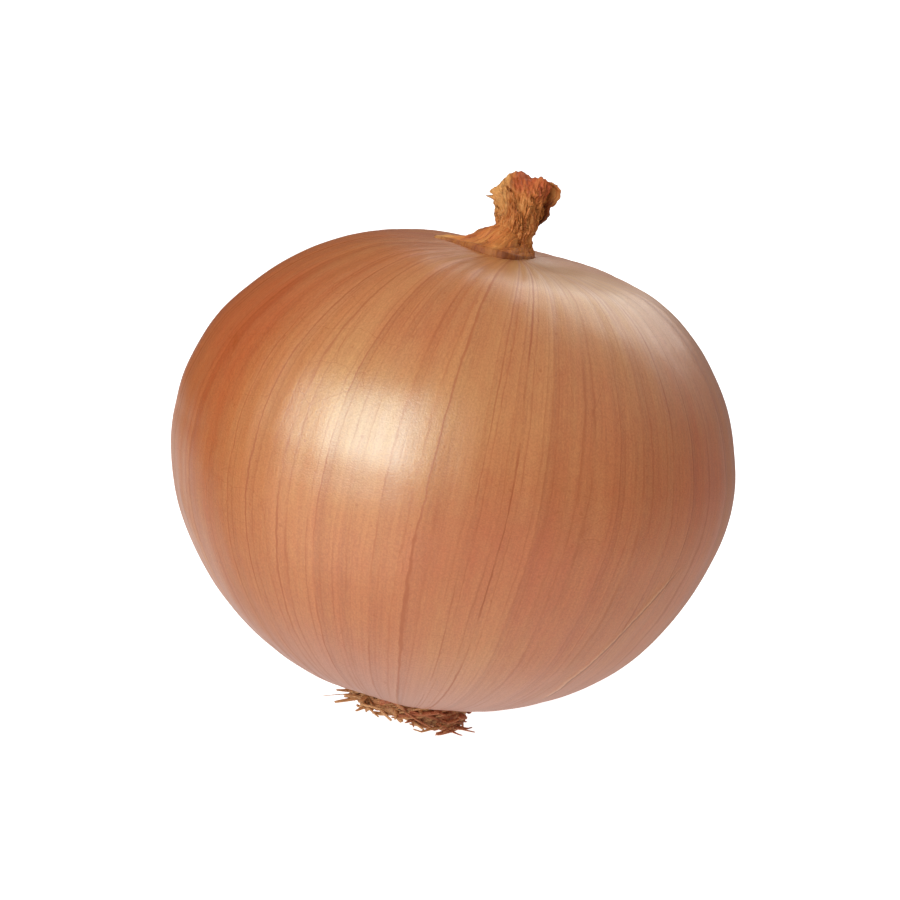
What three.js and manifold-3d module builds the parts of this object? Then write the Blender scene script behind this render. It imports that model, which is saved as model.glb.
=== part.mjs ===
// A brown onion, as picked and dried: a broad bulb in its papery skin, the withered neck where
// the leaves were cut, and the tuft of short dry roots that it leans on.
// Millimetres, +Z up. The origin is on the surface that the onion stands on, under its weight.

import * as THREE from "three";
import { mergeVertices } from "three/addons/utils/BufferGeometryUtils.js";
import Module from "manifold-3d";

// The stance: the onion leans towards +X on the flattened side of its roots.
const LEAN = THREE.MathUtils.degToRad(11);
const WIDEST_LEVEL = 39.5; // height of the bulb's widest level above the surface
const SIDESTEP = 0.28; // the widest level's centre, beside the point under the weight

// The bulb, in its own upright frame with the origin at the middle of its widest level.
// Half of its outline as [radius, height], from the root end to the neck.
const BULB_OUTLINE = [
  [0, -35.4],
  [8, -35],
  [15.7, -33.5],
  [23.9, -29.3],
  [30.8, -23.2],
  [36.2, -14.8],
  [39.1, -6.4],
  [39.8, 0],
  [39, 6.3],
  [35.7, 14.5],
  [29.1, 22.4],
  [21, 27.5],
  [12, 29.1],
  [5, 29.15],
  [0, 29.15],
];
const BULB_RADIUS = 39.8;
const NECK_SHIFT = 3.1; // the neck grew this far from the middle, towards +X
const TOP_TILT = 0.05; // the shoulders stand higher on the side away from the neck
const SHOULDER_RISE = 0.6; // the skin climbs this far where it narrows into the neck
const SHOULDER_SPREAD = 5;
const BELLY_SHIFT = 0.3; // below its widest level the bulb is fuller on this side, towards -X

// The skin's lengthwise veins and the pleats that gather at both ends.
const VEINS = 44;
const VEIN_WANDER = 0.27; // share of a vein's pitch
const VEIN_HEIGHT = 0.14;
const PLEAT_DEPTH = 0.22;
const COLUMNS_PER_VEIN = 3;
const BULB_RINGS = 26;

// The withered neck, as [height above the shoulder, sideways shift, radius].
const NECK_BASE = 29.9;
const NECK_STATIONS = [
  [-1.5, 0, 3.2],
  [0.2, -0.1, 2.5],
  [1.9, -0.5, 2.1],
  [3.2, -0.5, 2.5],
  [4.6, -0.35, 3],
  [6, -0.3, 3.5],
  [7.6, -0.35, 4.1],
  [9.2, 0, 3.9],
  [10.4, -0.6, 3.2],
  [11.2, -0.8, 1.8],
];
const NECK_FOLDS = 7;
const NECK_FOLD_DEPTH = 0.12; // share of the radius
const NECK_TWIST = 0.09; // radians a millimetre
const NECK_FLATTEN = 0.84; // depth over width
const LEAF_THICKNESS = 0.62;

// The root tuft: a matted pad under the root plate, and the dry roots that stick out of it.
const PAD_RADIUS = 8.4;
const PAD_TOP = -34.2;
const PAD_BOTTOM = -37.9;
const PAD_DROP = 1.7; // the side that the onion stands on is thicker by this much
const PAD_SPREAD = 0.25; // and is pressed outwards by this share of the radius
const ROOTS = 74;
const ROOT_REACH = 10.3;
const ROOT_THICKNESS = 0.85;

const GAP = 0.34; // clear space between touching pieces

const wasm = await Module();
wasm.setup();

// A repeatable stream of draws between 0 and 1.
function draws(seed) {
  let state = seed;
  return () => {
    state = (state * 16807) % 2147483647;
    return state / 2147483647;
  };
}

const mix = (a, b, share) => a + (b - a) * share;
const point = (x, y, z) => new THREE.Vector3(x, y, z);

function outlineOf(stations) {
  const curve = new THREE.SplineCurve(stations.map(([a, b]) => new THREE.Vector2(a, b)));
  return (share) => curve.getPoint(share);
}

// A closed surface through rings of points with the same count, capped at both ends.
// Rings run anticlockwise seen from the last ring's side.
function loft(rings, firstTip, lastTip) {
  const count = rings[0].length;
  const corners = rings.flat().flatMap((p) => [p.x, p.y, p.z]);
  const faces = [];
  for (let i = 0; i + 1 < rings.length; i++) {
    for (let j = 0; j < count; j++) {
      const a = i * count + j;
      const b = i * count + ((j + 1) % count);
      faces.push(a, b, b + count, a, b + count, a + count);
    }
  }
  const first = rings.length * count;
  corners.push(firstTip.x, firstTip.y, firstTip.z, lastTip.x, lastTip.y, lastTip.z);
  const lastRing = (rings.length - 1) * count;
  for (let j = 0; j < count; j++) {
    const k = (j + 1) % count;
    faces.push(first, k, j, first + 1, lastRing + j, lastRing + k);
  }
  return geometryFrom(corners, faces);
}

function geometryFrom(corners, faces) {
  const geometry = new THREE.BufferGeometry();
  geometry.setAttribute("position", new THREE.Float32BufferAttribute(corners, 3));
  geometry.setIndex(faces);
  return geometry;
}

// A thin closed blade whose middle surface is middle(across, along), across from -1 to 1 and
// along from 0 to 1. Both faces are split into triangles the same way.
function blade(middle, thickness, acrossSteps, alongSteps) {
  const front = [];
  const back = [];
  const nudge = 0.01;
  for (let i = 0; i <= alongSteps; i++) {
    for (let j = 0; j <= acrossSteps; j++) {
      const across = mix(-1, 1, j / acrossSteps);
      const along = i / alongSteps;
      const here = middle(across, along);
      const aside = middle(across + nudge, along).sub(middle(across - nudge, along));
      const before = Math.max(0, along - nudge);
      const ahead = middle(across, Math.min(1, along + nudge)).sub(middle(across, before));
      const out = aside.cross(ahead).normalize();
      front.push(here.clone().addScaledVector(out, thickness / 2));
      back.push(here.clone().addScaledVector(out, -thickness / 2));
    }
  }
  const wide = acrossSteps + 1;
  const total = front.length;
  const faces = [];
  const quad = (a, b, c, d) => faces.push(a, b, c, a, c, d);
  for (let i = 0; i < alongSteps; i++) {
    for (let j = 0; j < acrossSteps; j++) {
      const a = i * wide + j;
      quad(a, a + 1, a + wide + 1, a + wide);
      const b = a + total;
      faces.push(b, b + wide + 1, b + 1, b, b + wide, b + wide + 1);
    }
    const left = i * wide;
    const right = left + acrossSteps;
    quad(left, left + wide, left + wide + total, left + total);
    quad(right, right + total, right + wide + total, right + wide);
  }
  const lastRow = alongSteps * wide;
  for (let j = 0; j < acrossSteps; j++) {
    quad(j, j + total, j + 1 + total, j + 1);
    const k = lastRow + j;
    quad(k, k + 1, k + 1 + total, k + total);
  }
  return geometryFrom([...front, ...back].flatMap((p) => [p.x, p.y, p.z]), faces);
}

function solid(geometry) {
  const merged = mergeVertices(geometry, 1e-4);
  const made = new wasm.Manifold(
    new wasm.Mesh({
      numProp: 3,
      vertProperties: merged.attributes.position.array,
      triVerts: new Uint32Array(merged.index.array),
    }),
  );
  return made.volume() < 0 ? fail("a piece is inside out") : made;
}

function fail(words) {
  throw new Error(words);
}

function joined(solids) {
  return solids.reduce((whole, next) => whole.add(next));
}

// The largest single body of a solid, without loose scraps.
function wholeBody(made) {
  return made.decompose().sort((a, b) => b.volume() - a.volume())[0];
}

function geometryOf(made) {
  const { numProp, vertProperties, triVerts } = made.getMesh();
  const corners = [];
  for (let i = 0; i < vertProperties.length; i += numProp) {
    corners.push(vertProperties[i], vertProperties[i + 1], vertProperties[i + 2]);
  }
  const geometry = geometryFrom(corners, [...triVerts]);
  geometry.computeVertexNormals();
  return geometry;
}

function material(colour, roughness) {
  return new THREE.MeshStandardMaterial({ color: colour, roughness, metalness: 0 });
}

// Bulb

function veinTurns() {
  const draw = draws(44);
  return Array.from({ length: VEINS }, (_, k) => {
    const wander = VEIN_WANDER * (2 * draw() - 1);
    return (2 * Math.PI * (k + wander)) / VEINS;
  });
}

// The skin at a turn round the axis and a share of the way from the roots to the neck.
// onVein is 1 on a vein and 0 between veins, and grow moves the whole skin out.
function skinPoint(outline, turn, share, onVein, grow) {
  const at = outline(share);
  const open = 1 - (at.x / BULB_RADIUS) ** 2;
  const upper = at.y > 0;
  const shift = upper ? NECK_SHIFT * open ** 1.5 : BELLY_SHIFT * Math.sin(0.14 * at.y) * (at.y > -22.4);
  const gather = upper ? SHOULDER_RISE * Math.exp(-((at.x / SHOULDER_SPREAD) ** 2)) : 0;
  const tilt = upper ? -TOP_TILT * at.x * Math.cos(turn) * open ** 3 : 0;
  const gathered = Math.exp(-((at.x / 17) ** 2));
  const pleat = PLEAT_DEPTH * gathered * Math.min(1, at.x / 4) * (2 * onVein - 1);
  const lobes = 0.2 * Math.cos(5 * turn + 1.3) + 0.15 * Math.cos(8 * turn + 0.4);
  const relief = grow + pleat + onVein * VEIN_HEIGHT + lobes * (at.x / BULB_RADIUS);
  const skin = point(at.x * Math.cos(turn) + shift, at.x * Math.sin(turn), at.y + gather + tilt);
  return skin.addScaledVector(skin.clone().normalize(), relief);
}

function bulbGeometry(grow) {
  const outline = outlineOf(BULB_OUTLINE);
  const turns = veinTurns();
  const columns = [];
  turns.forEach((turn, k) => {
    const next = k + 1 < VEINS ? turns[k + 1] : turns[0] + 2 * Math.PI;
    for (let j = 0; j < COLUMNS_PER_VEIN; j++) {
      columns.push({ turn: mix(turn, next, j / COLUMNS_PER_VEIN), onVein: j === 0 ? 1 : 0 });
    }
  });
  const rings = [];
  for (let i = 1; i < BULB_RINGS; i++) {
    const share = i / BULB_RINGS;
    rings.push(columns.map(({ turn, onVein }) => skinPoint(outline, turn, share, onVein, grow)));
  }
  const rootEnd = skinPoint(outline, 0, 0, 0, grow);
  const neckEnd = skinPoint(outline, 0, 1, 0, grow);
  return loft(rings, rootEnd, neckEnd);
}

// Neck

// The neck's [sideways shift, radius] at a height above the shoulder.
function neckStation(height) {
  const last = NECK_STATIONS.length - 1;
  const next = NECK_STATIONS.findIndex(([level]) => level >= height);
  const i = next < 0 ? last : Math.max(1, next);
  const [lowLevel, lowShift, lowRadius] = NECK_STATIONS[i - 1];
  const [highLevel, highShift, highRadius] = NECK_STATIONS[i];
  const share = Math.min(1, Math.max(0, (height - lowLevel) / (highLevel - lowLevel)));
  return [mix(lowShift, highShift, share), mix(lowRadius, highRadius, share)];
}

// A place round the neck's middle line, at a distance outside its radius.
function neckPlace(turn, height, outside, swell = 1) {
  const [shift, radius] = neckStation(height);
  const out = radius * swell + outside;
  return point(
    NECK_SHIFT + shift + out * Math.cos(turn),
    out * Math.sin(turn) * NECK_FLATTEN,
    NECK_BASE + height,
  );
}

function neckColumn() {
  const sides = 30;
  const rings = 13;
  const lowest = NECK_STATIONS[0][0];
  const highest = NECK_STATIONS[NECK_STATIONS.length - 1][0] - 0.9;
  const made = [];
  for (let i = 0; i < rings; i++) {
    const height = mix(lowest, highest, i / (rings - 1));
    const ring = [];
    for (let j = 0; j < sides; j++) {
      const turn = (2 * Math.PI * j) / sides;
      const fold = NECK_FOLD_DEPTH * Math.cos(NECK_FOLDS * (turn + height * NECK_TWIST));
      const ripple = 0.05 * Math.cos(3 * turn - height * 0.9);
      ring.push(neckPlace(turn, height, -0.45, 1 + fold + ripple));
    }
    made.push(ring);
  }
  const middle = (height) => neckPlace(0, height, 0, 0);
  return loft(made, middle(lowest), middle(highest - 0.7));
}

// One dry leaf sheath that wraps the column and flares at its torn tip.
function sheath({ turn, halfWidth, height, flare, tears, phase }) {
  return blade(
    (across, along) => {
      const torn = 1 - tears * (0.5 + 0.5 * Math.cos(across * 4.3 + phase)) * Math.abs(across);
      const level = mix(-0.6, height, along * torn);
      const share = Math.max(0, level / height);
      const wave = 0.16 * Math.cos(across * 5.5 + phase + level * 0.5) * share;
      const spread = halfWidth * (1 - 0.4 * share ** 4);
      const outside = -0.25 + flare * share ** 4 + wave;
      return neckPlace(turn + across * spread + level * NECK_TWIST * 0.5, level, outside);
    },
    LEAF_THICKNESS,
    5,
    8,
  );
}

const SHEATHS = [
  { turn: 2.95, halfWidth: 0.66, height: 8.4, flare: 1.1, tears: 0.16, phase: 0.4 },
  { turn: 3.95, halfWidth: 0.66, height: 11, flare: 0.3, tears: 0.1, phase: 1.9 },
  { turn: 4.95, halfWidth: 0.6, height: 11.3, flare: 0.2, tears: 0.14, phase: 3.1 },
  { turn: 5.85, halfWidth: 0.55, height: 10, flare: 0.9, tears: 0.2, phase: 4.4 },
  { turn: 0.65, halfWidth: 0.66, height: 10.8, flare: 0.4, tears: 0.18, phase: 5.2 },
  { turn: 1.8, halfWidth: 0.66, height: 10.4, flare: 0.6, tears: 0.2, phase: 2.6 },
];

// The skirt of dry skin round the neck's foot, with the long flap over the shoulder at -X.
function skirt() {
  const middleTurn = Math.PI + 0.5;
  return blade(
    (across, along) => {
      const turn = middleTurn + 1.75 * across;
      const flap = Math.exp(-(((turn - Math.PI - 0.06) / 0.36) ** 2));
      const ragged = 0.22 * Math.cos(turn * 9 + 0.4);
      const reach = mix(1.5, mix(3.7, 11.5, flap) + ragged, along);
      const nearNeck = 1.1 * Math.exp(-(reach - 2.2) / 0.9);
      const onFlap = 2.7 * Math.exp(-(reach - 4.1) / 3.1);
      const lift = 0.45 + mix(nearNeck, onFlap, flap ** 0.6);
      const drop = 0.005 * reach ** 2 + 0.6 * (1 - Math.exp(-((reach / SHOULDER_SPREAD) ** 2)));
      return point(
        NECK_SHIFT + reach * Math.cos(turn),
        reach * Math.sin(turn),
        NECK_BASE + 0.2 + Math.min(lift, 5) - drop * 0.9,
      );
    },
    LEAF_THICKNESS,
    16,
    7,
  );
}

function neckSolid() {
  const pieces = [neckColumn(), skirt(), ...SHEATHS.map(sheath)];
  return wholeBody(joined(pieces.map(solid)).subtract(solid(bulbGeometry(GAP))));
}

// Roots

function rootPad() {
  const sides = 32;
  const levels = [
    [PAD_BOTTOM, 0.86],
    [-37.4, 1],
    [-36.4, 1.05],
    [-35.2, 1.02],
    [PAD_TOP, 0.9],
  ];
  const drop = (x, level) => {
    const low = Math.min(1, Math.max(0, (level - PAD_TOP) / (PAD_BOTTOM - PAD_TOP)));
    return PAD_DROP * THREE.MathUtils.smoothstep(x, 0.5, 6) * low ** 2;
  };
  const rings = levels.map(([level, share]) =>
    Array.from({ length: sides }, (_, j) => {
      const turn = (2 * Math.PI * j) / sides;
      const ragged = 1 + 0.045 * Math.cos(7 * turn + level) + 0.03 * Math.cos(11 * turn - level);
      const pressed = 1 + PAD_SPREAD * Math.max(0, Math.cos(turn)) ** 2;
      const out = PAD_RADIUS * share * ragged * pressed;
      const x = out * Math.cos(turn);
      return point(x, out * Math.sin(turn), level - drop(x, level));
    }),
  );
  return loft(rings, point(0, 0, PAD_BOTTOM), point(0, 0, PAD_TOP));
}

// A root as a tapering four-sided strand along a bent line.
function root(start, heading, length, thickness, bend) {
  const steps = 4;
  const rings = [];
  const at = start.clone();
  const way = heading.clone().normalize();
  for (let i = 0; i <= steps; i++) {
    const aside = point(-way.y, way.x, 0).normalize();
    const over = way.clone().cross(aside).normalize();
    const half = (thickness / 2) * mix(1, 0.6, i / steps);
    rings.push(
      [0, 1, 2, 3].map((k) => {
        const turn = (Math.PI / 2) * k + 0.4;
        return at
          .clone()
          .addScaledVector(aside, 1.35 * half * Math.cos(turn))
          .addScaledVector(over, half * Math.sin(turn));
      }),
    );
    at.addScaledVector(way, length / steps);
    way.add(bend.clone().multiplyScalar(1 / steps)).normalize();
  }
  const mean = (ring) => ring.reduce((sum, p) => sum.add(p), point(0, 0, 0)).divideScalar(4);
  return loft(rings, mean(rings[0]), mean(rings[steps]));
}

function rootStrands() {
  const draw = draws(7);
  const golden = Math.PI * (3 - Math.sqrt(5));
  return Array.from({ length: ROOTS }, (_, k) => {
    const turn = k * golden + 0.5 * draw();
    const share = Math.sqrt((k + 0.5) / ROOTS);
    const out = (PAD_RADIUS - 1.1) * share;
    const swerve = turn + 1.5 * (draw() - 0.5);
    const low = THREE.MathUtils.smoothstep(out * Math.cos(turn), 0.5, 6);
    const level = mix(-37.1, -35.4, draw()) - 0.4 * (1 - share) - 0.8 * low;
    const start = point(out * Math.cos(turn), out * Math.sin(turn), level);
    const fall = mix(-0.42, 0.12, draw() * share) - 0.3 * low;
    const heading = point(Math.cos(swerve), Math.sin(swerve), fall);
    const length = mix(1.6, ROOT_REACH - out + 0.9, 0.4 + 0.6 * draw());
    const bend = point(draw() - 0.5, draw() - 0.5, 0.7 * (draw() - 0.45));
    return root(start, heading, length, ROOT_THICKNESS * mix(0.8, 1.25, draw()), bend);
  });
}

// The longest roots, as [turn, start radius, start level, length, fall, thickness].
const LONG_ROOTS = [
  [-0.66, 6.6, -37.9, 5.7, -0.16, 1],
  [-0.5, 6.6, -37.6, 5.6, -0.16, 0.9],
  [-0.28, 6.5, -37.9, 4.4, -0.24, 1],
  [-0.4, 6.5, -36.5, 5, 0.1, 1.1],
  [0.45, 6.6, -37.8, 4.6, -0.2, 1],
  [0.72, 6.6, -37.6, 4.6, -0.22, 0.9],
  [3.22, 7, -37.4, 5.1, -0.2, 0.64],
  [3.42, 6.4, -37.5, 4.1, -0.3, 1.2],
  [3.14, 6.4, -37.6, 4.3, -0.28, 1.3],
  [3.7, 6.4, -37.6, 3.7, -0.26, 1.2],
  [3.02, 6.6, -36.6, 3.5, 0.02, 1],
];

function longRoots() {
  return LONG_ROOTS.map(([turn, out, level, length, fall, thickness]) => {
    const start = point(out * Math.cos(turn), out * Math.sin(turn), level);
    const heading = point(Math.cos(turn), Math.sin(turn), fall);
    return root(start, heading, length, thickness, point(0, 0, 0.08));
  });
}

// The floor in the bulb's own frame, which the roots are pressed flat against.
function floorBlock(stance) {
  const block = new THREE.BoxGeometry(120, 120, 20);
  block.deleteAttribute("normal");
  block.deleteAttribute("uv");
  block.translate(0, 0, -10);
  return block.applyMatrix4(stance.clone().invert());
}

function rootSolid(stance) {
  const tuft = joined([rootPad(), ...rootStrands(), ...longRoots()].map(solid));
  const trimmed = tuft.subtract(solid(bulbGeometry(GAP))).subtract(solid(floorBlock(stance)));
  return wholeBody(trimmed);
}

function piece(name, geometry, finish) {
  const made = new THREE.Mesh(geometry, finish);
  made.name = name;
  return made;
}

const leaning = new THREE.Group();
leaning.rotation.y = LEAN;
leaning.position.set(SIDESTEP, 0, WIDEST_LEVEL);
leaning.updateMatrix();
leaning.add(
  piece("bulb", bulbGeometry(0), material(0xbe7548, 0.38)),
  piece("neck", geometryOf(neckSolid()), material(0xa8683a, 0.85)),
  piece("root_tuft", geometryOf(rootSolid(leaning.matrix)), material(0x9a6a45, 0.95)),
);

const onion = new THREE.Group();
onion.add(leaning);

export default onion;
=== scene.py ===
"""A brown onion with its papery skin, withered neck and root tuft, laid out as a Blender add-on."""

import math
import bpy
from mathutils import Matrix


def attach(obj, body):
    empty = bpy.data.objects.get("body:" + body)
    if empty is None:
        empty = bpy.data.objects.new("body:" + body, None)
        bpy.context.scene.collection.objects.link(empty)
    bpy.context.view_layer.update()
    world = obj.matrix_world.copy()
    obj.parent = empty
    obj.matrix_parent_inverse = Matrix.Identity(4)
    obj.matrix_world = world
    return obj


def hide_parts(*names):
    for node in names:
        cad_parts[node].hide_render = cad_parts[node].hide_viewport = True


bl_info = {
    "name": "Brown Onion",
    "version": (1, 0, 0),
    "blender": (4, 5, 0),
    "location": "View3D > Sidebar > Onion",
    "description": "Builds a dry brown onion with its neck and roots, and a pale studio for it",
    "category": "Object",
}

import bpy
import numpy as np
from mathutils import Vector, noise
from mathutils.kdtree import KDTree

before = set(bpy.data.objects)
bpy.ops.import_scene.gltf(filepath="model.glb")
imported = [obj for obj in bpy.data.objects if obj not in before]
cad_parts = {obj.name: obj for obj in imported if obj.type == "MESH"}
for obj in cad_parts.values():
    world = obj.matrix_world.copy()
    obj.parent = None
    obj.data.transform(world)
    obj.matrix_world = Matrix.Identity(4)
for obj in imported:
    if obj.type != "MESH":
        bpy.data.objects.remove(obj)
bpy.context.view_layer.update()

MM = 0.001

# Half of the bulb's outline in millimetres as [radius, height], from the root end to the neck
OUTLINE = np.array(
    [
        [0, -35.4], [8, -35], [15.7, -33.5], [23.9, -29.3], [30.8, -23.2],
        [36.2, -14.8], [39.1, -6.4], [39.8, 0], [39, 6.3], [35.7, 14.5],
        [29.1, 22.4], [21, 27.5], [12, 29.1], [5, 29.15], [0, 29.15],
    ]
)
NECK_SHIFT = 3.1
TOP_TILT = 0.05
SHOULDER_RISE = 0.6
SHOULDER_SPREAD = 5
# The lower half sways sideways by this much, in a wave that ends at the belly's bottom
BELLY_SHIFT = 0.3
BELLY_WAVE = 0.14
BELLY_BOTTOM = -22.4
# The skin laid flat: how long it is from roots to neck, and the radius that it is rolled on
SKIN_LENGTH = 125
GIRTH_RADIUS = 40
CREASE_HEIGHT = 0.16
# How golden the plain skin is, and the level that its golden areas are seen from
PLAIN_GOLD = 0.3
BULB_MIDDLE = -4

# The neck's foot in millimetres, and its rows as [share of the height, left edge, right edge, half depth]
NECK_BASE = 29.9
NECK_FOOT = -1.4
NECK_ROWS = np.array(
    [
        [0, -3.2, 2.9, 2.6],
        [0.12, -3.0, 1.9, 2.2],
        [0.29, -3.0, 1.35, 2.0],
        [0.39, -3.2, 1.9, 2.1],
        [0.51, -3.4, 2.0, 2.3],
        [0.62, -3.7, 2.0, 2.4],
        [0.73, -4.1, 2.2, 2.3],
        [0.87, -4.75, 2.5, 1.7],
        [1.0, -5.15, 2.8, 0],
    ]
)
# The pinched top of the neck as [place from left to right, height above the shoulder]
NECK_TOP = np.array(
    [
        [-5.3, 7.5], [-4.2, 8.8], [-3.7, 9.7], [-3.1, 10.6], [-2.2, 10.95],
        [-1.2, 11.05], [-0.4, 10.75], [0.05, 10.45], [0.7, 10.75], [1.6, 10.95],
        [2.5, 10.4], [3.6, 9.85], [4.1, 9.3],
    ]
)
# The folded leaf behind the neck's right side as [height above the shoulder, edge]
SIDE_LEAF = np.array(
    [
        [3.4, 1.7], [4.4, 2.4], [5.0, 3.1], [5.8, 3.5], [6.4, 3.3],
        [6.9, 3.3], [7.6, 3.9], [8.6, 4.5], [9.3, 4.3], [9.9, 3.7],
        [10.2, 3.8],
    ]
)
# The skirt round the neck's foot as [turn in degrees, reach, height at the neck, height of its rim]
SKIRT = np.array(
    [
        [60, 2.7, 1.0, 0.15],
        [100, 3.0, 1.2, 0.15],
        [140, 4.6, 2.0, 0.15],
        [160, 7.0, 3.0, 0.1],
        [172, 9.6, 3.9, 0.1],
        [179, 11.3, 4.3, 0.12],
        [184, 10.4, 4.4, 0.15],
        [190, 9.2, 4.4, 0.2],
        [202, 8.1, 4.4, 0.4],
        [220, 7.8, 4.2, 0.7],
        [240, 7.6, 3.2, 0.85],
        [256, 7.2, 2.4, 0.8],
        [266, 5.8, 1.7, 0.5],
        [282, 3.6, 1.0, 0.2],
        [310, 2.6, 0.6, 0.1],
        [340, 2.4, 0.5, 0.1],
        [420, 2.4, 0.8, 0.1],
    ]
)

# A thin spike at the neck's left edge and the notch above it, as heights above the shoulder
NECK_SPIKE = 6.85
NECK_NOTCH = 7.2

# Thickness of the dry leaves in millimetres
SIDE_LEAF_THICKNESS = 0.3
LAYER_THICKNESS = 0.2
FLAP_THICKNESS = 0.24
# The skirt starts this far from the neck's axis, and turns down at this share of its reach
FLAP_START = 2.0
FLAP_EDGE = 0.86

# The root tuft in millimetres: its pad, and the mat of roots under it
PAD_RADIUS = 7.9
PAD_TOP = -34.2
PAD_BOTTOM = -37.8
PAD_DROP = 1.7
PAD_SPREAD = 0.25
MAT_RADIUS = 6.4
MAT_LEVEL = -37.2
MAT_LOWEST = -38.1
MAT_DROP = 1.2

# The lights, each as degrees left of the viewer, degrees above level, distance and size in metres,
# the setting that holds its power, and what shows it
LIGHTS = {
    "window_light": (38, 21, 0.9, (0.7, 0.655), "window_power", "both"),
    "window_sheen": (38, 23.5, 0.89, (0.46, 0.47), "sheen_power", "gloss"),
    "table_sheen": (46, -24, 0.88, (0.9, 0.62), "table_power", "gloss"),
    "back_sheen": (-147, 36, 0.9, (0.62, 0.62), "back_power", "gloss"),
    "edge_sheen": (152, -16, 0.88, (0.9, 0.4), "edge_power", "gloss"),
    "front_fill": (-15, -15, 0.88, (0.9, 0.6), "front_power", "colour"),
    "top_fill": (135, 62, 0.9, (0.9, 0.6), "top_power", "colour"),
    "under_fill": (170, -60, 0.9, (0.9, 0.6), "under_power", "colour"),
}
SHEEN_COLOUR = (0.46, 0.84, 1.0)
# Brightness of the surroundings, from straight below to straight above, and from the front to the
# back left, where it is dim
BELOW_TO_ABOVE = (1.0, 0.78, 0.55, 0.37, 0.27, 0.41, 0.5, 0.5, 0.5)
FRONT_TO_DIM = (1.0, 1.0, 1.0, 1.0, 1.0, 0.97, 0.7, 0.25, 0.02)
DIM_SIDE = (-0.51, 0.677, 0.53)


class OnionSettings(bpy.types.PropertyGroup):
    """Sizes and colours of the onion"""

    lean: bpy.props.FloatProperty(
        name="Lean",
        description="How far the onion leans over on its roots",
        default=math.radians(11),
        unit="ROTATION",
    )
    widest_level: bpy.props.FloatProperty(
        name="Widest level",
        description="Height of the bulb's widest level above the floor",
        default=39.5 * MM,
        unit="LENGTH",
    )
    sidestep: bpy.props.FloatProperty(
        name="Sidestep",
        description="Distance of the widest level's centre from the point under the weight",
        default=0.28 * MM,
        unit="LENGTH",
    )
    columns: bpy.props.IntProperty(
        name="Skin columns",
        description="Faces round the skin",
        default=440,
        min=60,
        max=460,
    )
    rings: bpy.props.IntProperty(
        name="Skin rings",
        description="Faces from the roots to the neck",
        default=200,
        min=40,
        max=210,
    )
    veins: bpy.props.IntProperty(
        name="Veins",
        description="Main lengthwise veins round the skin",
        default=48,
        min=20,
        max=70,
    )
    strongest_vein: bpy.props.IntProperty(
        name="Strongest vein",
        description="Number of the vein that shows along its whole length",
        default=35,
        min=0,
    )
    strands: bpy.props.IntProperty(
        name="Roots",
        description="Dry roots in the tuft",
        default=320,
        min=20,
        max=400,
    )
    skin_orange: bpy.props.FloatVectorProperty(
        name="Skin orange",
        description="Deep orange of the skin's upper sides",
        default=(0.47, 0.107, 0.028),
        subtype="COLOR",
    )
    skin_tan: bpy.props.FloatVectorProperty(
        name="Skin tan",
        description="Lighter tan of the skin",
        default=(0.475, 0.14, 0.038),
        subtype="COLOR",
    )
    # Used for the skin's golden tone and for the painted sheen where the lights glint
    skin_gold_and_sheen: bpy.props.FloatVectorProperty(
        name="Skin gold",
        description="Golden areas of the skin",
        default=(0.53, 0.245, 0.072),
        subtype="COLOR",
    )
    # Partly the skin's own tone and partly painted reflection of the pale floor on the lower part
    skin_pink_and_floor_reflection: bpy.props.FloatVectorProperty(
        name="Skin pink",
        description="Pinkish brown of the skin's lower part",
        default=(0.46, 0.17, 0.097),
        subtype="COLOR",
    )
    vein_brown: bpy.props.FloatVectorProperty(
        name="Vein brown",
        description="Colour of the thin veins",
        default=(0.34, 0.062, 0.001),
        subtype="COLOR",
    )
    # Painted shade on the dark side of the skin's creases
    crease_shade_brown: bpy.props.FloatVectorProperty(
        name="Crease brown",
        description="Dark side of the dry creases in the skin",
        default=(0.25, 0.06, 0.01),
        subtype="COLOR",
    )
    leaf_tan: bpy.props.FloatVectorProperty(
        name="Dry leaf tan",
        description="Main colour of the withered neck",
        default=(0.58, 0.2, 0.048),
        subtype="COLOR",
    )
    leaf_gold: bpy.props.FloatVectorProperty(
        name="Dry leaf gold",
        description="Golden parts of the withered neck",
        default=(0.68, 0.32, 0.095),
        subtype="COLOR",
    )
    # Painted shade in the neck's creases and fine grooves
    leaf_shade_brown: bpy.props.FloatVectorProperty(
        name="Dry leaf dark",
        description="Dark brown in the neck's creases",
        default=(0.135, 0.04, 0.01),
        subtype="COLOR",
    )
    leaf_red: bpy.props.FloatVectorProperty(
        name="Dry leaf red",
        description="Reddish brown of the neck's torn top",
        default=(0.47, 0.095, 0.024),
        subtype="COLOR",
    )
    root_tan: bpy.props.FloatVectorProperty(
        name="Root tan",
        description="Main colour of the dry roots",
        default=(0.64, 0.32, 0.13),
        subtype="COLOR",
    )
    root_red: bpy.props.FloatVectorProperty(
        name="Root red",
        description="Reddish brown of some of the roots",
        default=(0.5, 0.15, 0.06),
        subtype="COLOR",
    )
    # Used for dark streaks and for painted shade between the roots and in the pad's creases
    root_dark_and_shade: bpy.props.FloatVectorProperty(
        name="Root brown",
        description="Dark colour between the dry roots",
        default=(0.145, 0.04, 0.015),
        subtype="COLOR",
    )


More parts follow.
